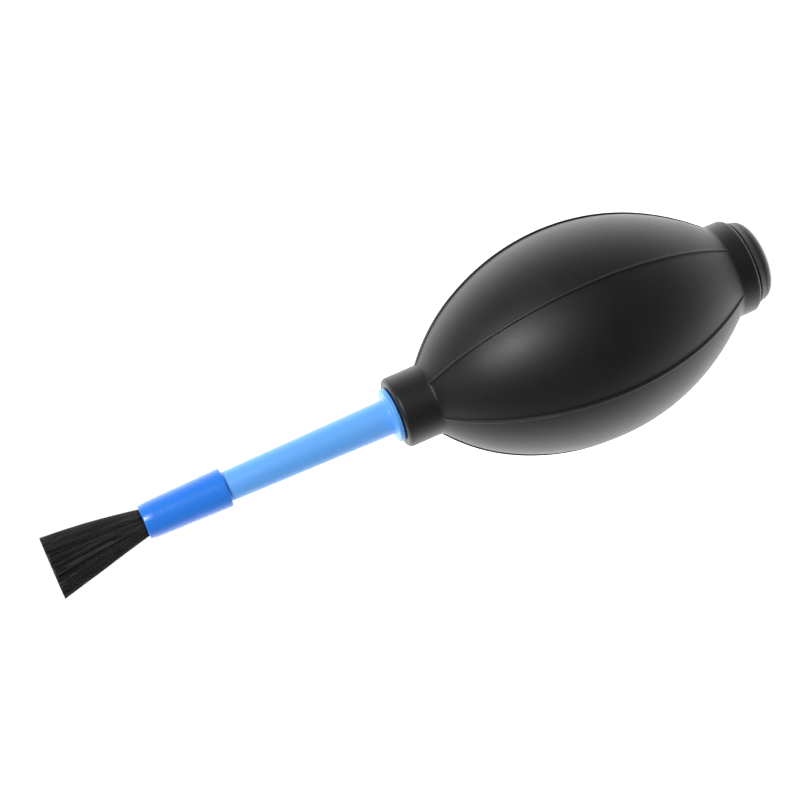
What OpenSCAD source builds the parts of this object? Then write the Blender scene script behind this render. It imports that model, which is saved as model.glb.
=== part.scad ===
// Dust blower bulb: a ribbed rubber squeeze bulb with a plastic nozzle at its front,
// a slip-on brush over the nozzle's tip, and an intake valve under a cap at its back.
// It stands on its rear cap with its axis along Z, the nozzle and brush upwards. Lengths
// along the axis are measured from the bulb's widest place, positive towards the cap.

/* [Bulb] */
// Diameter of the bulb's skin at its widest, without the ribs
bulb_d = 54.3; // [50:0.1:58]
// Radius of the long curve of the bulb's side
side_curve_r = 57.1; // [55:0.1:60]
// Radius of the side's tighter curve towards the front collar
front_curve_r = 46; // [44:0.5:50]
// Radius of the side's slacker curve towards the rear collar
rear_curve_r = 66; // [60:0.5:68]
// Thickness of the rubber
wall_t = 3; // [2:0.1:4]
// Number of raised ribs around the bulb
rib_count = 6; // [4:2:10]
// Width of a rib
rib_w = 0.9; // [0.6:0.1:2]
// Height of a rib above the skin
rib_h = 0.55; // [0.3:0.05:1]

/* [Collars] */
// Diameter of the front collar, which grips the nozzle
front_collar_d = 17.9; // [17:0.1:19]
// Distance from the bulb's widest place to the front collar's face
front_reach = 50.1; // [48:0.1:52]
// Diameter of the rear collar, which grips the valve
rear_collar_d = 24.2; // [23.5:0.1:26]
// Distance from the bulb's widest place to the rear collar's face
rear_reach = 44.55; // [43:0.05:46]
// Rounding of the collars' outer corners
collar_round = 1.1; // [0.5:0.1:1.5]

/* [Nozzle] */
// Length of the nozzle's tapered tube, from its flange to its tip
tube_len = 56; // [50:0.5:65]
// Diameter of the tube at the flange
tube_base_d = 8.9; // [8:0.1:9.5]
// Diameter of the tube at its tip
tube_tip_d = 7.05; // [6.5:0.05:7.4]
// Diameter of the flange
flange_d = 13.6; // [12:0.1:14.4]
// Thickness of the flange
flange_t = 1.25; // [1:0.05:2.5]
// Diameter of the air bore
air_bore_d = 3.2; // [2:0.1:3.6]
// Diameter of the plug that the front collar grips
plug_d = 10.3; // [10:0.1:10.6]

/* [Brush] */
// Length of the brush's ferrule
ferrule_len = 21; // [18:0.5:24]
// Diameter of the ferrule at its open back end
ferrule_rear_d = 9.95; // [9.25:0.05:10.5]
// Diameter of the ferrule at the bristles
ferrule_front_d = 8.9; // [8:0.05:9.2]
// How far the nozzle's tip reaches into the ferrule
socket_depth = 13.1; // [10:0.1:14]
// Length of the bristles outside the ferrule
bristle_len = 23.6; // [18:0.1:26]
// Diameter across the bristles' cut ends
bristle_tip_d = 15.4; // [12:0.1:16]

/* [Rear valve] */
// Diameter of the rear cap where it faces the collar
cap_d = 22.2; // [21.2:0.1:22.8]
// Thickness of the rear cap, with its domed back
cap_t = 4.55; // [4:0.05:5.5]
// Diameter of the hole that air is drawn in through
intake_d = 3; // [2:0.1:4]
// Diameter of the valve housing's barrel
barrel_d = 16.4; // [15:0.1:17]
// Length of the valve housing's barrel
barrel_len = 12.3; // [12:0.1:14]
// Diameter of the loose valve disc
disc_d = 11; // [9:0.1:11.4]

/* [Hidden] */
$fn = 96;

bulb_r = bulb_d / 2;
curve_offset = side_curve_r - bulb_r;
front_collar_r = front_collar_d / 2;
rear_collar_r = rear_collar_d / 2;
// Where the side's long curve hands over to its end curves: distance, slope and radius
end_start = 27;
end_slope = asin(end_start / side_curve_r);
end_r = side_curve_r * cos(end_slope) - curve_offset;
// Where the side runs into each collar, along the axis
front_join = -join(front_collar_r, front_curve_r);
rear_join = join(rear_collar_r, rear_curve_r);
side_steps = 32;
rib_inset = 0.3;
corner_steps = 6;
// How far a cutting solid runs past the face that it cuts
cut = 1;

// Nozzle
turn_clearance = 0.05;
seat_gap = 0.25;
plug_r = plug_d / 2;
neck_bore_r = plug_r + turn_clearance;
plug_len = 11;
plug_chamfer = 1;
barb_h = 0.6;
barb_len = 1.6;
barb_start = 3.4;
air_bore_r = air_bore_d / 2;
flange_r = flange_d / 2;
flange_round = 0.45;
flange_back = -front_reach - seat_gap;
flange_front = flange_back - flange_t;
tube_tip = flange_front - tube_len;
tube_taper = (tube_base_d - tube_tip_d) / 2 / tube_len;
tip_chamfer = 0.4;

// Brush
slip_clearance = 0.05;
ferrule_front = tube_tip + socket_depth - ferrule_len;
ferrule_rear = ferrule_front + ferrule_len;
mouth_round = 0.5;
seat_clearance = 0.1;
shoulder_t = 1;
root_r = 3.3;
air_tube_r = 1.35;
air_tube_bore_r = 0.9;
air_tube_flange_t = 0.6;
air_tube_flange_r = 2.7;
air_tube_reach = 3;
binding_t = 1.2;
flare_len = 2;
flare_r = 3.75;
shoulder_back = tube_tip - seat_clearance;
shoulder_front = shoulder_back - shoulder_t;
air_tube_front = ferrule_front - air_tube_reach;
bristle_end = ferrule_front - bristle_len;

// Valve
valve_gap = 0.4;
cap_front = rear_reach + valve_gap;
cap_back = cap_front + cap_t;
cap_r = cap_d / 2;
cap_edge = 0.15;
cap_floor_t = 2.4;
// The cap's side tapers to a rounded rim, and a larger rounding leads from that to the flat
// that the blower stands on
side_taper = 0.6;
rim_round = 2.4;
dome_round = 6;
stand_r = 6;
rim_r = cap_r - side_taper - rim_round;
rim_rise = sqrt(pow(dome_round - rim_round, 2) - pow(rim_r - stand_r, 2));
rim_turn = atan2(rim_rise, rim_r - stand_r);
dish_r = 3.2;
dish_depth = 0.5;
barrel_r = barrel_d / 2;
barrel_bore_r = 6.6;
barrel_chamfer = 0.8;
barrel_front = cap_front - barrel_len;
ridge_h = 0.6;
ridge_len = 1.6;
ridge_inset = 2.2;
ridge_start = rear_reach - ridge_inset - ridge_len;
spigot_len = 3.6;
spigot_bore_r = 4.6;
seat_inset = 1.6;
seat_back = cap_front - spigot_len - seat_inset;
seat_t = 1.2;
seat_front = seat_back - seat_t;
port_r = 3;
disc_t = 0.8;
disc_gap = 0.05;
disc_back = seat_front - disc_gap;
disc_travel = 1;
stop_margin = 0.2;
cage_back = disc_back - disc_t - disc_travel - stop_margin;
cage_t = 1.6;
cage_ring_t = 1.3;
cage_bar_w = 1.4;
cage_bars = 2;

// Stands a solid up on the rear cap: its cap end goes down to Z = 0
module stand_up() {
    translate([0, 0, cap_back])
        rotate([180, 0, 0])
            children();
}

// Solid of revolution about Z from points [radius, distance towards the back]
module turned(points) {
    rotate_extrude()
        polygon(points);
}

// Points of an arc about [r, z], from one angle to another
function arc(r, z, radius, from, to, steps) =
    [for (i = [0:steps])
        let (a = from + (to - from) * i / steps)
        [r + radius * cos(a), z + radius * sin(a)]];

// How far from the widest place an end curve comes down to a collar's radius
function join(collar_r, curve_r) =
    end_start - curve_r * sin(end_slope)
    + sqrt(pow(curve_r, 2) - pow(collar_r - end_r + curve_r * cos(end_slope), 2));

// Radius of an end curve grown by a skin, at distance z from the widest place
function end_side_r(z, skin, curve_r) =
    sqrt(pow(curve_r + skin, 2) - pow(z - end_start + curve_r * sin(end_slope), 2))
    + end_r - curve_r * cos(end_slope);

// Radius of the bulb's side grown by a skin, at distance z from its widest place
function side_r(z, skin) =
    abs(z) <= end_start + skin * sin(end_slope)
        ? sqrt(pow(side_curve_r + skin, 2) - z * z) - curve_offset
        : end_side_r(abs(z), skin, z < 0 ? front_curve_r : rear_curve_r);

// Points along the bulb's side, from one distance to another
function side(from, to, skin) =
    [for (i = [0:side_steps])
        let (z = from + (to - from) * i / side_steps)
        [side_r(z, skin), z]];

// How far from the widest place the air chamber comes down to a radius
function chamber_reach(r) =
    sqrt(pow(side_curve_r - wall_t, 2) - pow(r + curve_offset, 2));

// Points along the air chamber's side, which is one arc from bore to bore
function chamber_side(from, to) =
    [for (i = [0:side_steps])
        let (z = from + (to - from) * i / side_steps)
        [sqrt(pow(side_curve_r - wall_t, 2) - z * z) - curve_offset, z]];

// Widest and narrowest places of a barb that a plug carries, going towards the back
function barb(r, start, len, height) =
    [[r, start], [r + height, start + height / 2], [r + height, start + len / 2],
     [r, start + len]];

// Skin of the bulb with both collars
function skin_outline() = concat(
    [[0, -front_reach]],
    arc(front_collar_r - collar_round, -front_reach + collar_round, collar_round, -90, 0,
        corner_steps),
    side(front_join, rear_join, 0),
    arc(rear_collar_r - collar_round, rear_reach - collar_round, collar_round, 0, 90,
        corner_steps),
    [[0, rear_reach]]);

// Skin raised to the ribs' tops, which stop just short of the collars
function rib_outline() = concat(
    [[0, front_join + rib_inset]],
    side(front_join + rib_inset, rear_join - rib_inset, rib_h),
    [[0, rear_join - rib_inset]]);

// The hollow: front bore with the barb's groove, air chamber, rear bore with its groove
function hollow_outline() = concat(
    [[0, -front_reach - cut], [neck_bore_r, -front_reach - cut]],
    barb(neck_bore_r, -front_reach + barb_start - turn_clearance,
         barb_len + 2 * turn_clearance, barb_h),
    chamber_side(-chamber_reach(neck_bore_r), chamber_reach(barrel_r)),
    barb(barrel_r, ridge_start, ridge_len, ridge_h),
    [[barrel_r, rear_reach + cut], [0, rear_reach + cut]]);

module bulb() {
    color("#2b2b2c")
        stand_up()
            difference() {
                union() {
                    turned(skin_outline());
                    intersection() {
                        turned(rib_outline());
                        ribs();
                    }
                }
                turned(hollow_outline());
            }
}

// Flat slabs through the axis, one for each opposite pair of ribs
module ribs() {
    slab_d = bulb_d + 4 * rib_h;
    for (i = [0:rib_count / 2 - 1])
        rotate([0, 0, i * 360 / rib_count])
            cube([slab_d, rib_w, 2 * front_reach], center = true);
}

// Tube, flange and barbed plug in one moulding
module nozzle() {
    color("#64a5f5")
        stand_up()
            difference() {
                turned(concat(
                    [[0, tube_tip], [tube_tip_d / 2 - tip_chamfer, tube_tip],
                     [tube_tip_d / 2 + tube_taper * tip_chamfer, tube_tip + tip_chamfer],
                     [tube_base_d / 2, flange_front]],
                    arc(flange_r - flange_round, flange_front + flange_round, flange_round,
                        -90, 0, corner_steps),
                    [[flange_r, flange_back], [plug_r, flange_back]],
                    barb(plug_r, -front_reach + barb_start, barb_len, barb_h),
                    [[plug_r, flange_back + plug_len - plug_chamfer],
                     [plug_r - plug_chamfer, flange_back + plug_len],
                     [0, flange_back + plug_len]]));
                translate([0, 0, tube_tip - cut])
                    cylinder(r = air_bore_r, h = tube_len + flange_t + plug_len + 2 * cut);
            }
}

// Sleeve with a tapered socket behind and a bristle cup in front
module brush_ferrule() {
    color("#2f7ae0")
        stand_up()
            difference() {
                turned(concat(
                    [[0, ferrule_front]],
                    arc(ferrule_front_d / 2 - mouth_round, ferrule_front + mouth_round,
                        mouth_round, -90, 0, corner_steps),
                    [[ferrule_rear_d / 2, ferrule_rear], [0, ferrule_rear]]));
                turned([[0, shoulder_back],
                        [tube_tip_d / 2 + slip_clearance, shoulder_back],
                        [tube_tip_d / 2 + slip_clearance, tube_tip],
                        [tube_tip_d / 2 + slip_clearance + tube_taper * (socket_depth + cut),
                         ferrule_rear + cut],
                        [0, ferrule_rear + cut]]);
                translate([0, 0, ferrule_front - cut])
                    cylinder(r = root_r, h = shoulder_front - ferrule_front + cut);
                translate([0, 0, shoulder_front - cut])
                    cylinder(r = air_tube_r, h = shoulder_t + 2 * cut);
            }
}

// Thin tube that leads the air through the middle of the bristles
module brush_air_tube() {
    color("#d8d8d4")
        stand_up()
            difference() {
                union() {
                    translate([0, 0, air_tube_front])
                        cylinder(r = air_tube_r, h = shoulder_back - air_tube_front);
                    translate([0, 0, shoulder_front - air_tube_flange_t])
                        cylinder(r = air_tube_flange_r, h = air_tube_flange_t);
                }
                translate([0, 0, air_tube_front - cut])
                    cylinder(r = air_tube_bore_r,
                             h = shoulder_back - air_tube_front + 2 * cut);
            }
}

// Ring of set adhesive that holds the bristles' roots
binding_back = shoulder_front - air_tube_flange_t;
binding_front = binding_back - binding_t;
module bristle_binding() {
    color("#a89060")
        stand_up()
            turned([[air_tube_r, binding_front], [root_r, binding_front],
                    [root_r, binding_back], [air_tube_r, binding_back]]);
}

// Outer shape of the flared bristles
module bristle_tuft() {
    color("#1c1b1b")
        stand_up()
            turned([[0, bristle_end], [bristle_tip_d / 2, bristle_end],
                    [flare_r, ferrule_front - flare_len], [root_r, ferrule_front],
                    [root_r, binding_front], [air_tube_r, binding_front],
                    [air_tube_r, air_tube_front], [0, air_tube_front]]);
}

// Barrel that plugs the rear collar, with the disc's seat across it
module valve_housing() {
    color("#232324")
        stand_up()
            difference() {
                turned(concat(
                    [[0, barrel_front], [barrel_r - barrel_chamfer, barrel_front],
                     [barrel_r, barrel_front + barrel_chamfer]],
                    barb(barrel_r, ridge_start, ridge_len, ridge_h),
                    [[barrel_r, cap_front], [0, cap_front]]));
                translate([0, 0, barrel_front - cut])
                    cylinder(r = barrel_bore_r, h = seat_front - barrel_front + cut);
                translate([0, 0, seat_back])
                    cylinder(r = barrel_bore_r, h = cap_front - seat_back + cut);
                translate([0, 0, seat_front - cut])
                    cylinder(r = port_r, h = seat_t + 2 * cut);
            }
}

// Loose disc that lifts off its seat as the bulb draws air in
module valve_disc() {
    color("#b9b4a8")
        stand_up()
            translate([0, 0, disc_back - disc_t])
                cylinder(r = disc_d / 2, h = disc_t);
}

// Ring with crossed bars that stops the disc
module valve_cage() {
    color("#3a3a3c")
        stand_up()
            translate([0, 0, cage_back - cage_t]) {
                difference() {
                    cylinder(r = barrel_bore_r, h = cage_t);
                    translate([0, 0, -cut])
                        cylinder(r = barrel_bore_r - cage_ring_t, h = cage_t + 2 * cut);
                }
                for (i = [0:cage_bars - 1])
                    rotate([0, 0, i * 180 / cage_bars])
                        translate([0, 0, cage_t / 2])
                            cube([2 * barrel_bore_r - cage_ring_t, cage_bar_w, cage_t],
                                 center = true);
            }
}

// Round cap with a domed back, the intake hole, and a spigot that plugs the barrel
module rear_cap() {
    color("#2e2e30")
        stand_up()
            difference() {
                turned(concat(
                    [[0, cap_front - spigot_len], [barrel_bore_r, cap_front - spigot_len],
                     [barrel_bore_r, cap_front], [cap_r - cap_edge, cap_front],
                     [cap_r, cap_front + cap_edge]],
                    arc(rim_r, cap_back - dome_round + rim_rise, rim_round, 0, rim_turn,
                        corner_steps),
                    arc(stand_r, cap_back - dome_round, dome_round, rim_turn, 90,
                        corner_steps),
                    [[dish_r, cap_back], [dish_r - dish_depth, cap_back - dish_depth],
                     [0, cap_back - dish_depth]]));
                translate([0, 0, cap_front - spigot_len - cut])
                    cylinder(r = spigot_bore_r,
                             h = spigot_len + cap_t - cap_floor_t + cut);
                translate([0, 0, cap_front])
                    cylinder(r = intake_d / 2, h = cap_t + cut);
            }
}

bulb();
nozzle();
brush_ferrule();
brush_air_tube();
bristle_binding();
bristle_tuft();
valve_housing();
valve_disc();
valve_cage();
rear_cap();
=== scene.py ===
import math
import random

import bmesh
import bpy
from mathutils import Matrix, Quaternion, Vector, noise


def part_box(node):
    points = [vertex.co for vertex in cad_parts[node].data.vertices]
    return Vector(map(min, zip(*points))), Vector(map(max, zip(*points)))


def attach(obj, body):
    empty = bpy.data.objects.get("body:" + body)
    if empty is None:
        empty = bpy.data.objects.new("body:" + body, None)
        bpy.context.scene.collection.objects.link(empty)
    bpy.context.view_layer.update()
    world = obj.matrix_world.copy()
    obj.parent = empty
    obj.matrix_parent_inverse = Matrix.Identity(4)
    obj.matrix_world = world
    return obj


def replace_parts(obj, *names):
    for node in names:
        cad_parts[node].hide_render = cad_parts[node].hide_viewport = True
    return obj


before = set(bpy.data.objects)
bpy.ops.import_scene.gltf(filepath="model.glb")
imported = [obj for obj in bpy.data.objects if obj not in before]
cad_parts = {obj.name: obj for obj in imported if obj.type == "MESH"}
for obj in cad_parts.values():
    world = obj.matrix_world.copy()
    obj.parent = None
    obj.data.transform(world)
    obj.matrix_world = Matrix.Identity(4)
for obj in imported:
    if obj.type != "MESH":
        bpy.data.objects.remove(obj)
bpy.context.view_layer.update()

MM = 0.001

# --------------------------------------------------------------------------------------
# Places that everything is worked out from, in metres, in the frame of the CAD model.
# The blower stands on its rear cap with its axis on Z, nozzle and brush upwards.
# --------------------------------------------------------------------------------------
BULB_LOW, BULB_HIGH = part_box("bulb")
NOZZLE_LOW, NOZZLE_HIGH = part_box("nozzle")
FERRULE_LOW, FERRULE_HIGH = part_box("brush_ferrule")
TUFT_LOW, TUFT_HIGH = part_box("bristle_tuft")
CAP_LOW, CAP_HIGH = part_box("rear_cap")

RIB_H = 0.55 * MM
SKIN_R = (BULB_HIGH.x - BULB_LOW.x) / 2 - RIB_H
# From the bulb's widest place to the end of its front collar
FRONT_REACH = 50.1 * MM
WIDEST_Z = BULB_HIGH.z - FRONT_REACH
FRONT_COLLAR_R = 8.95 * MM
REAR_COLLAR_R = 12.1 * MM

# The bulb's side is a long arc that hands over to another arc towards each collar
SIDE_CURVE_R = 57.1 * MM
FRONT_CURVE_R = 46 * MM
REAR_CURVE_R = 66 * MM
CURVE_OFFSET = SIDE_CURVE_R - SKIN_R
# Where the end arcs start, how much the side slopes there, and its radius there
END_START = 27 * MM
END_SLOPE = math.asin(END_START / SIDE_CURVE_R)
END_R = SIDE_CURVE_R * math.cos(END_SLOPE) - CURVE_OFFSET


def side_r(z):
    """Radius of the bulb's side at height z."""
    along = abs(z - WIDEST_Z)
    if along <= END_START:
        return math.sqrt(SIDE_CURVE_R**2 - along**2) - CURVE_OFFSET
    curve_r = FRONT_CURVE_R if z > WIDEST_Z else REAR_CURVE_R
    past = along - END_START + curve_r * math.sin(END_SLOPE)
    rest = max(curve_r**2 - past**2, 0.0)
    return math.sqrt(rest) + END_R - curve_r * math.cos(END_SLOPE)


def side_reach(collar_r, curve_r):
    """How far from the widest place an end arc comes down to a collar's radius."""
    fall = collar_r - END_R + curve_r * math.cos(END_SLOPE)
    return END_START - curve_r * math.sin(END_SLOPE) + math.sqrt(curve_r**2 - fall**2)


def smooth_max(a, b, blend):
    """The larger of a and b, rounded where they cross over a length of about blend."""
    return (a + b + math.sqrt((a - b) ** 2 + blend**2)) / 2


def span(start, end, steps):
    """steps + 1 numbers from start to end."""
    return [start + (end - start) * i / steps for i in range(steps + 1)]


def arc(z, r, radius, start, end, steps):
    """Points (z, r) of an arc; angles in degrees, 0 straight up and 90 away from the axis."""
    turns = [math.radians(a) for a in span(start, end, steps)]
    return [(z + radius * math.cos(a), r + radius * math.sin(a)) for a in turns]


# --------------------------------------------------------------------------------------
# Camera: a 90 mm lens half a metre away, a little above level and rolled on its side,
# so that the standing blower's nozzle points down to the left of the picture
# --------------------------------------------------------------------------------------
def make_camera(azimuth, elevation, roll, distance, lens, aside, above):
    """A camera that sees the bulb's middle aside to the right and above the view's middle."""
    a, e = math.radians(azimuth), math.radians(elevation)
    back = Vector((math.sin(a) * math.cos(e), -math.cos(a) * math.cos(e), math.sin(e)))
    level = (-back).to_track_quat("-Z", "Y")
    turn = level @ Quaternion((0, 0, 1), math.radians(roll))
    right, up = turn @ Vector((1, 0, 0)), turn @ Vector((0, 1, 0))
    data = bpy.data.cameras.new("camera")
    data.lens = lens
    data.sensor_width = 36
    camera = bpy.data.objects.new("camera", data)
    camera.rotation_mode = "QUATERNION"
    camera.rotation_quaternion = turn
    middle = Vector((0, 0, WIDEST_Z))
    camera.location = middle + back * distance - right * aside - up * above
    bpy.context.scene.collection.objects.link(camera)
    bpy.context.scene.camera = camera


make_camera(azimuth=8.5, elevation=10.2, roll=-113.4, distance=0.491, lens=90,
            aside=44 * MM, above=16.25 * MM)


# --------------------------------------------------------------------------------------
# Meshes
# --------------------------------------------------------------------------------------
def make_object(name, points, faces, material, tint=None):
    """A smooth-shaded object. tint is an optional value for each point, read by materials."""
    mesh = bpy.data.meshes.new(name)
    mesh.from_pydata(points, [], faces)
    shape = bmesh.new()
    shape.from_mesh(mesh)
    bmesh.ops.recalc_face_normals(shape, faces=shape.faces)
    shape.to_mesh(mesh)
    shape.free()
    mesh.polygons.foreach_set("use_smooth", [True] * len(mesh.polygons))
    if tint is not None:
        attribute = mesh.attributes.new("tint", "FLOAT", "POINT")
        attribute.data.foreach_set("value", tint)
    mesh.materials.append(material)
    obj = bpy.data.objects.new(name, mesh)
    bpy.context.scene.collection.objects.link(obj)
    return obj


def ring_faces(rows, columns):
    """Quads of a closed ring: both the rows and the columns run round in a loop."""
    faces = []
    for i in range(rows):
        j = (i + 1) % rows
        for k in range(columns):
            m = (k + 1) % columns
            faces.append((i * columns + k, j * columns + k, j * columns + m, i * columns + m))
    return faces


def lathe(name, outline, material, columns=128):
    """A closed ring turned round the axis from an outline of (z, r) that runs in a loop."""
    bearings = [2 * math.pi * k / columns for k in range(columns)]
    points = [(r * math.cos(b), r * math.sin(b), z) for z, r in outline for b in bearings]
    return make_object(name, points, ring_faces(len(outline), columns), material)


# --------------------------------------------------------------------------------------
# Materials
# --------------------------------------------------------------------------------------
def grey(level):
    """A neutral colour."""
    return (level, level, level)


def set_stops(ramp, stops):
    """Gives a colour ramp its (position, colour) stops."""
    elements = ramp.color_ramp.elements
    while len(elements) < len(stops):
        elements.new(0.5)
    for element, (position, colour) in zip(elements, stops):
        element.position = position
        element.color = (*colour, 1)


class Nodes:
    """A material's node tree, with short calls to add and join nodes."""

    def __init__(self, name):
        self.material = bpy.data.materials.new(name)
        self.material.use_nodes = True
        self.tree = self.material.node_tree
        self.shader = self.tree.nodes["Principled BSDF"]
        self.object_place = self.tree.nodes.new("ShaderNodeTexCoord").outputs["Object"]

    def node(self, kind, **inputs):
        """A new node. Its sockets are named with _ in place of each space."""
        made = self.tree.nodes.new(kind)
        for key, value in inputs.items():
            self.put(made.inputs[key.replace("_", " ")], value)
        return made

    def put(self, socket, value):
        """Joins the socket to another one, or gives it a constant."""
        if isinstance(value, bpy.types.NodeSocket):
            self.tree.links.new(value, socket)
        else:
            socket.default_value = value

    def set(self, **inputs):
        """Sets or joins the shader's own sockets."""
        for key, value in inputs.items():
            self.put(self.shader.inputs[key.replace("_", " ")], value)

    def noise(self, scale, detail, roughness, stretch=(1, 1, 1)):
        """Noise fixed to the piece; a small stretch draws it out in that direction."""
        place = self.node("ShaderNodeMapping", Vector=self.object_place, Scale=stretch)
        made = self.node("ShaderNodeTexNoise", Vector=place.outputs["Vector"],
                         Scale=scale, Detail=detail, Roughness=roughness)
        return made.outputs["Fac"]

    def attribute(self, name):
        """A value that is stored with the mesh's points."""
        made = self.tree.nodes.new("ShaderNodeAttribute")
        made.attribute_name = name
        return made.outputs["Fac"]

    def between(self, factor, stops):
        """The factor turned into a colour by (position, colour) stops."""
        ramp = self.node("ShaderNodeValToRGB", Fac=factor)
        set_stops(ramp, stops)
        return ramp.outputs["Color"]

    def spread(self, value, low, high, to_low, to_high):
        """The value, with low to high stretched to to_low to to_high."""
        made = self.tree.nodes.new("ShaderNodeMapRange")
        self.put(made.inputs["Value"], value)
        for key, number in (("From Min", low), ("From Max", high),
                            ("To Min", to_low), ("To Max", to_high)):
            made.inputs[key].default_value = number
        return made.outputs["Result"]

    def mixed(self, factor, a, b):
        """Colour a, which turns into b as the factor rises to 1."""
        made = self.tree.nodes.new("ShaderNodeMix")
        made.data_type = "RGBA"
        self.put(made.inputs[0], factor)
        self.put(made.inputs[6], a if isinstance(a, bpy.types.NodeSocket) else (*a, 1))
        self.put(made.inputs[7], b if isinstance(b, bpy.types.NodeSocket) else (*b, 1))
        return made.outputs[2]

    def total(self, a, b):
        """The sum of two values."""
        made = self.tree.nodes.new("ShaderNodeMath")
        made.operation = "ADD"
        self.put(made.inputs[0], a)
        self.put(made.inputs[1], b)
        return made.outputs[0]

    def bump(self, height, depth, strength):
        """Fine relief of the surface."""
        made = self.node("ShaderNodeBump", Height=height, Distance=depth, Strength=strength)
        self.put(self.shader.inputs["Normal"], made.outputs["Normal"])


def rubber_material():
    """Moulded black rubber: fine grain, faint handling marks, and a painted highlight that makes the
    rib crests paler.
    """
    n = Nodes("bulb_rubber")
    grain = n.noise(2600, 3, 0.6)
    clouds = n.noise(55, 4, 0.55)
    marks = n.noise(240, 5, 0.7, stretch=(1, 1, 0.35))
    base = n.between(clouds, [(0.3, grey(0.004)), (0.7, grey(0.007))])
    # the rib crests are painted paler here: a painted highlight along each rib
    rib_crest_highlight = n.mixed(n.spread(n.attribute("tint"), 0, 1, 0, 0.5), base, grey(0.022))
    n.set(Base_Color=n.mixed(n.spread(marks, 0.62, 0.8, 0, 0.35), rib_crest_highlight, grey(0.022)),
          Roughness=n.spread(n.total(clouds, grain), 0.6, 1.4, 0.43, 0.53))
    n.shader.inputs["Specular IOR Level"].default_value = 0.42
    n.bump(grain, 0.04 * MM, 0.5)
    return n.material


def plastic_material(name, pale, deep, roughness, grain_depth=0.02 * MM):
    """Moulded plastic with slow colour drift and a fine grain."""
    n = Nodes(name)
    drift = n.noise(90, 3, 0.5, stretch=(1, 1, 0.25))
    grain = n.noise(1800, 2, 0.6)
    n.set(Base_Color=n.between(drift, [(0.3, deep), (0.7, pale)]),
          Roughness=n.spread(grain, 0.3, 0.7, roughness - 0.04, roughness + 0.06))
    n.bump(grain, grain_depth, 0.35)
    return n.material


def bristle_material():
    """Black hair with a long sheen: greyer up to a tint of 1, and a brown cut end at -1."""
    n = Nodes("bristles")
    strand = n.noise(900, 2, 0.6, stretch=(1, 1, 0.05))
    black = n.between(strand, [(0.35, grey(0.012)), (0.7, (0.038, 0.038, 0.037))])
    tint = n.attribute("tint")
    greyed = n.mixed(n.spread(tint, 0, 1, 0, 1), black, grey(0.13))
    n.set(Base_Color=n.mixed(n.spread(tint, -0.2, -1, 0, 1), greyed, (0.035, 0.02, 0.016)),
          Roughness=n.spread(strand, 0.3, 0.8, 0.5, 0.35))
    return n.material


def binding_material():
    """Set adhesive with trapped cloudiness."""
    n = Nodes("binding")
    cloud = n.noise(700, 4, 0.6)
    n.set(Base_Color=n.between(cloud, [(0.3, (0.22, 0.15, 0.06)), (0.7, (0.4, 0.3, 0.15))]),
          Roughness=n.spread(cloud, 0.3, 0.7, 0.25, 0.4))
    n.bump(cloud, 0.1 * MM, 0.4)
    return n.material


RUBBER = rubber_material()
LIGHT_BLUE = plastic_material("nozzle_plastic", (0.135, 0.43, 0.97), (0.115, 0.39, 0.92), 0.42)
MID_BLUE = plastic_material("ferrule_plastic", (0.027, 0.218, 0.83), (0.02, 0.186, 0.77), 0.26,
                            grain_depth=0.01 * MM)
CAP_BLACK = plastic_material("cap_plastic", grey(0.019), grey(0.014), 0.5, grain_depth=0.04 * MM)
VALVE_BLACK = plastic_material("valve_plastic", (0.026, 0.026, 0.027), (0.018, 0.018, 0.019), 0.42)
NATURAL = plastic_material("tube_plastic", (0.72, 0.72, 0.68), (0.62, 0.62, 0.58), 0.35)
SILICONE = plastic_material("disc_rubber", (0.55, 0.52, 0.45), (0.46, 0.43, 0.36), 0.5)
HAIR = bristle_material()
GLUE = binding_material()


# --------------------------------------------------------------------------------------
# Bulb: one closed skin with collars, six ribs, both bores and the hollow inside
# --------------------------------------------------------------------------------------
RIBS = 6
# Half of a rib's cross-section: distance from its middle in mm, and share of its height
RIB_SECTION = [(0.0, 1.0), (0.12, 0.99), (0.2, 0.96), (0.26, 0.86), (0.3, 0.68),
               (0.34, 0.42), (0.38, 0.18), (0.43, 0.05), (0.5, 0.0)]
RIB_EDGE = RIB_SECTION[-1][0] * MM
# Mesh columns on each panel between two ribs
PANEL_STEPS = 18
# A rib sinks into a collar's corner over this height
RIB_FADE = 0.1 * MM
CORNER_R = 1.1 * MM
WALL = 3.0 * MM
NECK_BORE_R = 5.2 * MM
REAR_BORE_R = 8.2 * MM
BORE_LIP = 0.3 * MM
# How softly the side runs into each collar
NECK_BLEND = 0.35 * MM
REAR_BLEND = 0.5 * MM


def chamber_r(z):
    """Radius of the air chamber at height z."""
    return math.sqrt((SIDE_CURVE_R - WALL) ** 2 - (z - WIDEST_Z) ** 2) - CURVE_OFFSET


def chamber_reach(r):
    """How far from the widest place the air chamber comes down to radius r."""
    return math.sqrt((SIDE_CURVE_R - WALL) ** 2 - (r + CURVE_OFFSET) ** 2)


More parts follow.
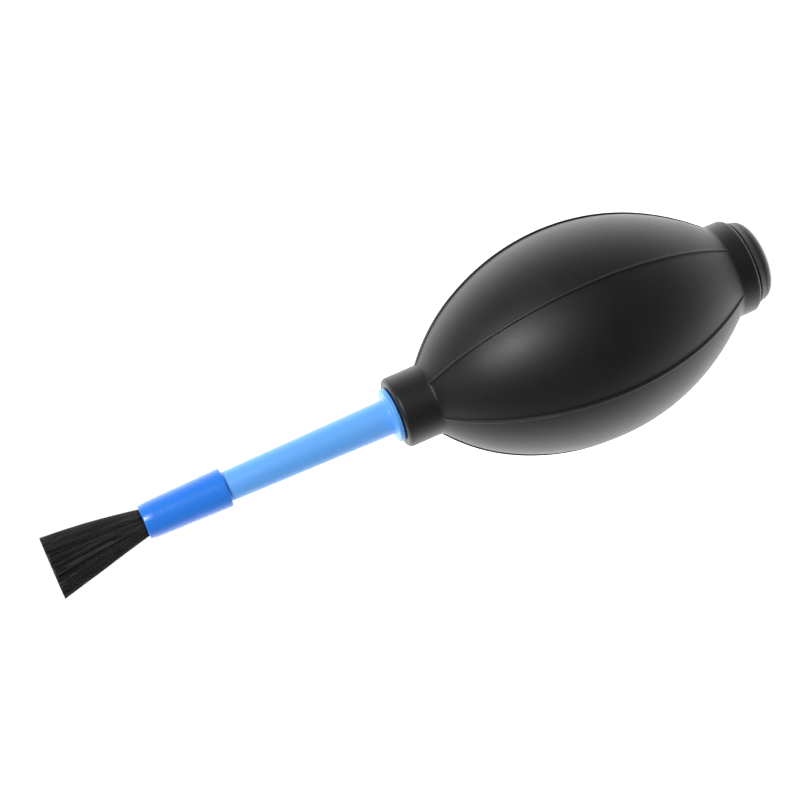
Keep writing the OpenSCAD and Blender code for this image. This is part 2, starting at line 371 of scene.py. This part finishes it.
def bulb_outline():
    """Loop of (z, r, ribbed), down the outside and up the inside of the bulb."""
    top, bottom = BULB_HIGH.z, BULB_LOW.z
    top_join = WIDEST_Z + side_reach(FRONT_COLLAR_R, FRONT_CURVE_R)
    bottom_join = WIDEST_Z - side_reach(REAR_COLLAR_R, REAR_CURVE_R)
    chamber_top = WIDEST_Z + chamber_reach(NECK_BORE_R)
    chamber_bottom = WIDEST_Z - chamber_reach(REAR_BORE_R)

    def outside(z):
        """Radius of the skin between the ribs, collars included."""
        if z > WIDEST_Z:
            return smooth_max(side_r(z), FRONT_COLLAR_R, NECK_BLEND)
        return smooth_max(side_r(z), REAR_COLLAR_R, REAR_BLEND)

    plain = arc(top - BORE_LIP, NECK_BORE_R + BORE_LIP, BORE_LIP, -90, 0, 4)
    plain += arc(top - CORNER_R, FRONT_COLLAR_R - CORNER_R, CORNER_R, 0, 90, 9)
    outline = [(z, r, False) for z, r in plain]
    # rows lie closest together where the side runs into a collar
    stations = span(top - 1.6 * MM, top_join + 1.2 * MM, 6)
    stations += span(top_join + 1.0 * MM, top_join - 1.4 * MM, 32)
    stations += span(top_join - 1.8 * MM, bottom_join + 2.8 * MM, 84)
    stations += span(bottom_join + 2.4 * MM, bottom_join - 1.8 * MM, 28)
    stations += span(bottom_join - 2.1 * MM, bottom + CORNER_R + 0.4 * MM, 4)
    outline += [(z, outside(z), True) for z in stations]
    plain = arc(bottom + CORNER_R, REAR_COLLAR_R - CORNER_R, CORNER_R, 90, 180, 9)
    plain += arc(bottom + BORE_LIP, REAR_BORE_R + BORE_LIP, BORE_LIP, 180, 270, 4)
    plain += [(z, REAR_BORE_R) for z in span(bottom + 1.5 * MM, chamber_bottom - 0.6 * MM, 4)]
    plain += [(z, chamber_r(z)) for z in span(chamber_bottom, chamber_top, 52)]
    plain += [(z, NECK_BORE_R) for z in span(chamber_top + 0.6 * MM, top - 1 * MM, 7)]
    return outline + [(z, r, False) for z, r in plain]


def bulb_columns():
    """Columns round the bulb: (rib number, distance from its middle, share of its height,
    share of the way to the next rib)."""
    right = [(u * MM, height) for u, height in RIB_SECTION]
    left = [(-u, height) for u, height in reversed(right[1:])]
    columns = []
    for rib in range(RIBS):
        columns += [(rib, u, height, 0.0) for u, height in left + right]
        columns += [(rib, RIB_EDGE, 0.0, step / PANEL_STEPS) for step in range(1, PANEL_STEPS)]
    return columns


def build_bulb():
    """The outline set round the axis at every column, with the ribs raised on its outside."""
    outline, columns = bulb_outline(), bulb_columns()
    sector = 2 * math.pi / RIBS
    points, tint = [], []
    for z, r, ribbed in outline:
        panel = sector - 2 * RIB_EDGE / r
        for rib, offset, height, step in columns:
            bearing = rib * sector + offset / r + panel * step
            rise = 0.0
            if ribbed and height > 0:
                # the rib's own top, less what the collar's corner already stands proud
                top = side_r(z) + RIB_H * height
                rise = max(smooth_max(top - r, 0, RIB_FADE) - RIB_FADE * (1 - height / 2), 0)
            points.append(((r + rise) * math.cos(bearing), (r + rise) * math.sin(bearing), z))
            # the rib's share of its height, which the rubber turns into a painted highlight on the
            # crests
            tint.append(min(rise / RIB_H, 1.0))
    faces = ring_faces(len(outline), len(columns))
    skin = make_object("bulb_skin", points, faces, RUBBER, tint)
    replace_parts(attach(skin, "root"), "bulb")


# --------------------------------------------------------------------------------------
# Nozzle, ferrule and rear cap
# --------------------------------------------------------------------------------------
TUBE_LEN = 56 * MM
TUBE_BASE_R = 4.45 * MM
TUBE_TIP_R = 3.525 * MM
TUBE_SLOPE = (TUBE_BASE_R - TUBE_TIP_R) / TUBE_LEN
TIP_ROUND = 0.35 * MM
AIR_BORE_R = 1.6 * MM
BORE_ROUND = 0.2 * MM
# The flange faces the front collar across a small gap
SEAT_GAP = 0.25 * MM
FLANGE_T = 1.25 * MM
FLANGE_FILLET = 0.35 * MM
FLANGE_EDGE = 0.4 * MM
FLANGE_UNDER_EDGE = 0.15 * MM
PLUG_R = 5.15 * MM
BARB_DROP = 3.4 * MM
BARB_RISE = 0.6 * MM


def build_nozzle():
    """Down the tapered tube, over the flange and the barbed plug, and up the air bore."""
    tip, plug_end = NOZZLE_HIGH.z, NOZZLE_LOW.z
    flange_r = (NOZZLE_HIGH.y - NOZZLE_LOW.y) / 2
    under = BULB_HIGH.z + SEAT_GAP
    over = under + FLANGE_T
    barb = BULB_HIGH.z - BARB_DROP
    outline = arc(tip - TIP_ROUND, TUBE_TIP_R - TIP_ROUND, TIP_ROUND, 0, 85, 5)
    outline += [(z, TUBE_TIP_R + TUBE_SLOPE * (tip - z))
                for z in span(tip - 1 * MM, over + FLANGE_FILLET, 40)]
    outline += arc(over + FLANGE_FILLET, TUBE_BASE_R + FLANGE_FILLET, FLANGE_FILLET, 260, 180, 5)
    outline += arc(over - FLANGE_EDGE, flange_r - FLANGE_EDGE, FLANGE_EDGE, 0, 90, 8)
    outline += arc(under + FLANGE_UNDER_EDGE, flange_r - FLANGE_UNDER_EDGE, FLANGE_UNDER_EDGE,
                   90, 180, 4)
    outline += [(under, PLUG_R), (barb, PLUG_R), (barb - 0.3 * MM, PLUG_R + BARB_RISE),
                (barb - 0.8 * MM, PLUG_R + BARB_RISE), (barb - 1.6 * MM, PLUG_R),
                (plug_end + 1 * MM, PLUG_R), (plug_end, PLUG_R - 1 * MM)]
    outline += arc(plug_end + BORE_ROUND, AIR_BORE_R + BORE_ROUND, BORE_ROUND, 180, 270, 3)
    outline += [(z, AIR_BORE_R) for z in span(plug_end + 2 * MM, tip - 2 * MM, 12)]
    outline += arc(tip - BORE_ROUND, AIR_BORE_R + BORE_ROUND, BORE_ROUND, 270, 360, 3)
    nozzle = lathe("nozzle_moulding", outline, LIGHT_BLUE)
    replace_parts(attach(nozzle, "nozzle"), "nozzle")


# The sleeve flares from its mouth to a waist, and then widens evenly to its rear
FERRULE_MOUTH_R = 4.25 * MM
FERRULE_WAIST_R = 4.53 * MM
WAIST_DROP = 3.2 * MM
CUP_R = 3.3 * MM
CUP_LIP = 0.28 * MM
MOUTH_ROUND = 0.35 * MM
REAR_ROUND = 0.25 * MM
SOCKET_DEPTH = 13.1 * MM
SOCKET_PLAY = 0.05 * MM
SOCKET_ROUND = 0.2 * MM
AIR_HOLE_R = 1.35 * MM
STEP_T = 1 * MM


def build_ferrule():
    """Down the sleeve's outside from the bristles, then up its socket, hole and cup."""
    mouth, rear = FERRULE_HIGH.z, FERRULE_LOW.z
    rear_r = (FERRULE_HIGH.y - FERRULE_LOW.y) / 2
    waist = mouth - WAIST_DROP
    socket_r = TUBE_TIP_R + SOCKET_PLAY
    lip_r = socket_r + TUBE_SLOPE * SOCKET_DEPTH
    shoulder = rear + SOCKET_DEPTH + 0.1 * MM
    outline = arc(mouth - CUP_LIP, CUP_R + CUP_LIP, CUP_LIP, -90, 0, 4)
    outline += arc(mouth - MOUTH_ROUND, FERRULE_MOUTH_R - MOUTH_ROUND, MOUTH_ROUND, 0, 80, 5)
    outline += [(z, FERRULE_MOUTH_R + (FERRULE_WAIST_R - FERRULE_MOUTH_R) * math.sin(math.pi / 2 * s))
                for s, z in zip(span(0.12, 1, 8), span(mouth - 0.6 * MM, waist, 8))]
    outline += [(z, FERRULE_WAIST_R + (rear_r - FERRULE_WAIST_R) * s)
                for s, z in zip(span(0.08, 0.97, 16), span(waist - 1.4 * MM, rear + 0.5 * MM, 16))]
    outline += arc(rear + REAR_ROUND, rear_r - REAR_ROUND, REAR_ROUND, 100, 180, 4)
    outline += arc(rear + SOCKET_ROUND, lip_r + SOCKET_ROUND, SOCKET_ROUND, 180, 270, 3)
    outline += [(rear + SOCKET_DEPTH * s, lip_r - TUBE_SLOPE * SOCKET_DEPTH * s)
                for s in span(0.1, 1, 8)]
    outline += [(shoulder, socket_r), (shoulder, AIR_HOLE_R), (shoulder + STEP_T, AIR_HOLE_R),
                (shoulder + STEP_T, CUP_R)]
    outline += [(z, CUP_R) for z in span(shoulder + STEP_T + 0.4 * MM, mouth - 0.8 * MM, 6)]
    ferrule = lathe("ferrule_sleeve", outline, MID_BLUE)
    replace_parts(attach(ferrule, "brush"), "brush_ferrule")


# A gap keeps the cap clear of the rear collar
VALVE_GAP = 0.4 * MM
SPIGOT_R = 6.6 * MM
SPIGOT_ROUND = 0.3 * MM
SPIGOT_BORE_R = 4.6 * MM
CAP_BRIM = 0.12 * MM
# A rounded rim runs into a larger rounding, and that into the flat that the blower stands on
CAP_TAPER = 0.6 * MM
CAP_RIM_R = 2.4 * MM
CAP_DOME_R = 6 * MM
STAND_R = 6 * MM
CAP_FLOOR_T = 2.4 * MM
DISH_R = 3.2 * MM
DISH_DEPTH = 0.5 * MM
DISH_EDGE = 0.25 * MM
DISH_CORNER = 0.4 * MM
INTAKE_R = 1.5 * MM
INTAKE_ROUND = 0.3 * MM


def build_rear_cap():
    """Down the spigot and the cap's side, across its domed back, and up through the intake."""
    spigot_top, back = CAP_HIGH.z, CAP_LOW.z
    cap_r = (CAP_HIGH.y - CAP_LOW.y) / 2
    front = BULB_LOW.z - VALVE_GAP
    floor, dish = back + CAP_FLOOR_T, back + DISH_DEPTH
    rim_out = cap_r - CAP_TAPER - CAP_RIM_R - STAND_R
    rim_rise = math.sqrt((CAP_DOME_R - CAP_RIM_R) ** 2 - rim_out**2)
    rim_z = back + CAP_DOME_R - rim_rise
    turn = 90 + math.degrees(math.atan2(rim_rise, rim_out))
    outline = arc(spigot_top - SPIGOT_ROUND, SPIGOT_R - SPIGOT_ROUND, SPIGOT_ROUND, 0, 90, 4)
    outline += [(z, SPIGOT_R) for z in span(spigot_top - 1 * MM, front, 4)]
    outline += arc(front - CAP_BRIM, cap_r - CAP_BRIM, CAP_BRIM, 0, 90, 5)
    outline += [(z, cap_r - CAP_TAPER * (front - z) / (front - rim_z))
                for z in span(front - 0.35 * MM, rim_z + 0.2 * MM, 3)]
    outline += arc(rim_z, cap_r - CAP_TAPER - CAP_RIM_R, CAP_RIM_R, 90, turn, 8)
    outline += arc(back + CAP_DOME_R, STAND_R, CAP_DOME_R, turn + 4, 180, 8)
    outline += [(back, r) for r in span(STAND_R - 0.8 * MM, DISH_R + 0.8 * MM, 3)]
    outline += arc(back + DISH_EDGE, DISH_R + DISH_EDGE, DISH_EDGE, 180, 225, 3)
    outline += arc(dish - DISH_CORNER, DISH_R - 0.6 * MM, DISH_CORNER, 45, 0, 3)
    outline += [(dish, r) for r in span(DISH_R - 0.9 * MM, INTAKE_R + 0.5 * MM, 2)]
    outline += arc(dish + INTAKE_ROUND, INTAKE_R + INTAKE_ROUND, INTAKE_ROUND, 180, 270, 4)
    outline += [(z, INTAKE_R) for z in span(dish + 0.6 * MM, floor, 4)]
    outline += [(floor, SPIGOT_BORE_R)]
    outline += [(z, SPIGOT_BORE_R) for z in span(floor + 0.6 * MM, spigot_top, 8)]
    cap = lathe("rear_cap_disc", outline, CAP_BLACK)
    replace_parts(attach(cap, "root"), "rear_cap")


# --------------------------------------------------------------------------------------
# Bristles: single hairs that flare from the ferrule's mouth to straight-cut ends
# --------------------------------------------------------------------------------------
HAIRS = 2600
HAIR_R = 0.085 * MM
HAIR_THINNING = 0.25
HAIR_SIDES = 3
# Shares of a hair's length at which it has a ring of points
HAIR_STATIONS = [0, 0.06, 0.14, 0.26, 0.4, 0.55, 0.7, 0.85, 0.98, 1]
HAIR_STEPS = len(HAIR_STATIONS) - 1
GOLDEN_ANGLE = math.radians(137.508)
# The hairs start below the ferrule's mouth, in a ring round the air tube
ROOT_DEPTH = 0.6 * MM
ROOTS_R = 3.23 * MM
ROOTS_HOLLOW_R = 1.45 * MM
# A few stray hairs wave more than the rest, and are greyer
STRAYS = 0.035
STRAY_WAVE = 5
# The tuft is bent a little to one side, as used bristles are
LEAN = 1.35 * MM
LEAN_BEND = 1.6
LEAN_X, LEAN_Y = -0.989, -0.146
# The hairs open a little faster near their roots
FLARE = 0.15
# How unevenly they lie: angles in radians, and shares of the tuft's radius
BEARING_SPREAD = 0.05
TURN_SPREAD = 0.03
CLUMP_TURN = 0.09
TIP_SHARE = 0.985
TIP_SPREAD = 0.012
CLUMP_SHARE = 0.06
CUT_SPREAD = 0.12 * MM
WAVE_SPREAD = 0.16 * MM
# The tint that stands for a hair's cut end
CUT_TINT = -1.0


def hair_path(base, tip, start_z, end_z, wave, phase):
    """Points along a hair from its root to its cut end."""
    path = []
    for s in HAIR_STATIONS:
        opened = s * (1 + FLARE - FLARE * s)
        sway = wave * math.sin(math.pi * s) * s
        z = start_z + (end_z - start_z) * s
        lean = LEAN * s**LEAN_BEND
        x = base[0] + (tip[0] - base[0]) * opened + sway * math.cos(phase) + lean * LEAN_X
        y = base[1] + (tip[1] - base[1]) * opened + sway * math.sin(phase) + lean * LEAN_Y
        path.append((x, y, z))
    return path


def add_hair(points, faces, tint, path, bearing, shade):
    """Adds a closed, thinning tube along the path. shade is its tint up to the cut end."""
    first = len(points)
    for k, (x, y, z) in enumerate(path):
        r = HAIR_R * (1 - HAIR_THINNING * k / HAIR_STEPS)
        for side in range(HAIR_SIDES):
            a = 2 * math.pi * side / HAIR_SIDES + bearing
            points.append((x + r * math.cos(a), y + r * math.sin(a), z))
            tint.append(CUT_TINT if k == HAIR_STEPS else shade)
    for k in range(HAIR_STEPS):
        low, high = first + k * HAIR_SIDES, first + (k + 1) * HAIR_SIDES
        for side in range(HAIR_SIDES):
            following = (side + 1) % HAIR_SIDES
            faces.append((low + side, low + following, high + following, high + side))
    last = first + HAIR_STEPS * HAIR_SIDES
    faces.append(tuple(first + side for side in reversed(range(HAIR_SIDES))))
    faces.append(tuple(last + side for side in range(HAIR_SIDES)))


def build_bristles():
    """Hairs spread evenly over the ferrule's cup, a little clumped and uneven."""
    rng = random.Random(7)
    root_z, end_z = FERRULE_HIGH.z - ROOT_DEPTH, TUFT_HIGH.z
    tip_r = (TUFT_HIGH.y - TUFT_LOW.y) / 2
    points, faces, tint = [], [], []
    for i in range(HAIRS):
        share = math.sqrt((i + 0.5) / HAIRS)
        bearing = i * GOLDEN_ANGLE + rng.gauss(0, BEARING_SPREAD)
        r_base = ROOTS_HOLLOW_R + (ROOTS_R - ROOTS_HOLLOW_R) * share
        spot = Vector((math.cos(bearing) * 2.2, math.sin(bearing) * 2.2, share * 3))
        clump = noise.noise(spot)
        r_tip = tip_r * share * (TIP_SHARE + CLUMP_SHARE * clump + rng.gauss(0, TIP_SPREAD))
        turn = bearing + CLUMP_TURN * clump + rng.gauss(0, TURN_SPREAD)
        base = (r_base * math.cos(bearing), r_base * math.sin(bearing))
        tip = (r_tip * math.cos(turn), r_tip * math.sin(turn))
        cut = end_z - abs(rng.gauss(0, CUT_SPREAD))
        stray = rng.random() < STRAYS
        wave = rng.gauss(0, WAVE_SPREAD) * (STRAY_WAVE if stray else 1)
        shade = rng.uniform(0.3, 1) if stray else 0.15 * rng.random() ** 2
        path = hair_path(base, tip, root_z, cut, wave, rng.uniform(0, 2 * math.pi))
        add_hair(points, faces, tint, path, bearing, shade)
    tuft = make_object("bristle_hairs", points, faces, HAIR, tint)
    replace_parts(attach(tuft, "brush"), "bristle_tuft")


# --------------------------------------------------------------------------------------
# Floor and light
# --------------------------------------------------------------------------------------
FLOOR_HALF = 2.0
FLOOR_GLOW = 0.9
# The room is a white tent that is dim on the side of the blower that faces DIM_SIDE
DIM_SIDE = (0.146, -0.969, 0.2)
ROOM_PEAK = 3.0
# Stops of (cosine of the angle from DIM_SIDE, brightness)
ROOM_STOPS = [(-1.0, 2.7), (-0.87, 2.8), (-0.5, 2.8), (-0.1, 1.38), (0.2, 0.40), (0.5, 0.185),
              (0.8, 0.12), (1.0, 0.1)]
# The camera sees this in the room's place
BACKDROP = 1.05
# One square soft box, as seen from the bulb's middle
KEY_SIDE = (0.42, -0.742, 0.522)
KEY_DISTANCE = 0.63
KEY_SIZE = 0.16
KEY_POWER = 3.3


def build_floor():
    """A white light-table sheet: it glows a little, so only faint shadows lie on it."""
    n = Nodes("floor_white")
    soft = n.noise(3, 2, 0.5)
    n.set(Base_Color=n.between(soft, [(0.3, grey(0.78)), (0.7, grey(0.8))]))
    n.shader.inputs["Roughness"].default_value = 0.9
    n.shader.inputs["Specular IOR Level"].default_value = 0.0
    n.shader.inputs["Emission Color"].default_value = (1, 1, 1, 1)
    n.shader.inputs["Emission Strength"].default_value = FLOOR_GLOW
    corners = [(x * FLOOR_HALF, y * FLOOR_HALF, 0) for x, y in ((-1, -1), (1, -1), (1, 1), (-1, 1))]
    floor = make_object("floor", corners, [(0, 1, 2, 3)], n.material)
    # the room's lower half lights the object from below in the floor's place
    floor.visible_glossy = False
    floor.visible_diffuse = False


def build_key_light():
    """A soft box that faces the bulb's middle."""
    data = bpy.data.lights.new("key", "AREA")
    data.shape = "SQUARE"
    data.size = KEY_SIZE
    data.energy = KEY_POWER
    light = bpy.data.objects.new("key", data)
    toward = Vector(KEY_SIDE).normalized()
    light.location = Vector((0, 0, WIDEST_Z)) + toward * KEY_DISTANCE
    light.rotation_mode = "QUATERNION"
    light.rotation_quaternion = (-toward).to_track_quat("-Z", "Y")
    bpy.context.scene.collection.objects.link(light)


def build_world():
    """The room lights the object, and the camera sees a plain white backdrop."""
    world = bpy.data.worlds.new("studio")
    world.use_nodes = True
    tree = world.node_tree
    tree.nodes.clear()
    direction = tree.nodes.new("ShaderNodeTexCoord").outputs["Generated"]
    frontness = tree.nodes.new("ShaderNodeVectorMath")
    frontness.operation = "DOT_PRODUCT"
    tree.links.new(direction, frontness.inputs[0])
    frontness.inputs[1].default_value = DIM_SIDE
    place = tree.nodes.new("ShaderNodeMapRange")
    tree.links.new(frontness.outputs["Value"], place.inputs["Value"])
    place.inputs["From Min"].default_value = -1
    ramp = tree.nodes.new("ShaderNodeValToRGB")
    tree.links.new(place.outputs["Result"], ramp.inputs["Fac"])
    set_stops(ramp, [((cosine + 1) / 2, grey(brightness / ROOM_PEAK))
                     for cosine, brightness in ROOM_STOPS])
    room = tree.nodes.new("ShaderNodeBackground")
    tree.links.new(ramp.outputs["Color"], room.inputs["Color"])
    room.inputs["Strength"].default_value = ROOM_PEAK
    backdrop = tree.nodes.new("ShaderNodeBackground")
    backdrop.inputs["Color"].default_value = (1, 1, 1, 1)
    backdrop.inputs["Strength"].default_value = BACKDROP
    seen = tree.nodes.new("ShaderNodeLightPath").outputs["Is Camera Ray"]
    either = tree.nodes.new("ShaderNodeMixShader")
    for socket, made in ((0, seen), (1, room.outputs[0]), (2, backdrop.outputs[0])):
        tree.links.new(made, either.inputs[socket])
    output = tree.nodes.new("ShaderNodeOutputWorld")
    tree.links.new(either.outputs[0], output.inputs["Surface"])
    bpy.context.scene.world = world


def set_colour_view():
    """Plain colours, with no film look."""
    view = bpy.context.scene.view_settings
    view.view_transform = "Standard"
    view.look = "None"


# --------------------------------------------------------------------------------------
# The assembly
# --------------------------------------------------------------------------------------
CAD_FINISH = {"valve_housing": VALVE_BLACK, "valve_cage": VALVE_BLACK, "valve_disc": SILICONE,
              "brush_air_tube": NATURAL, "bristle_binding": GLUE}


def finish_cad_nodes():
    """Gives the pieces inside the blower, which stay as the CAD model has them, their materials."""
    for node_name, material in CAD_FINISH.items():
        for material_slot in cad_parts[node_name].material_slots:
            material_slot.material = material


build_bulb()
build_nozzle()
build_ferrule()
build_rear_cap()
build_bristles()
finish_cad_nodes()
build_floor()
build_world()
build_key_light()
set_colour_view()
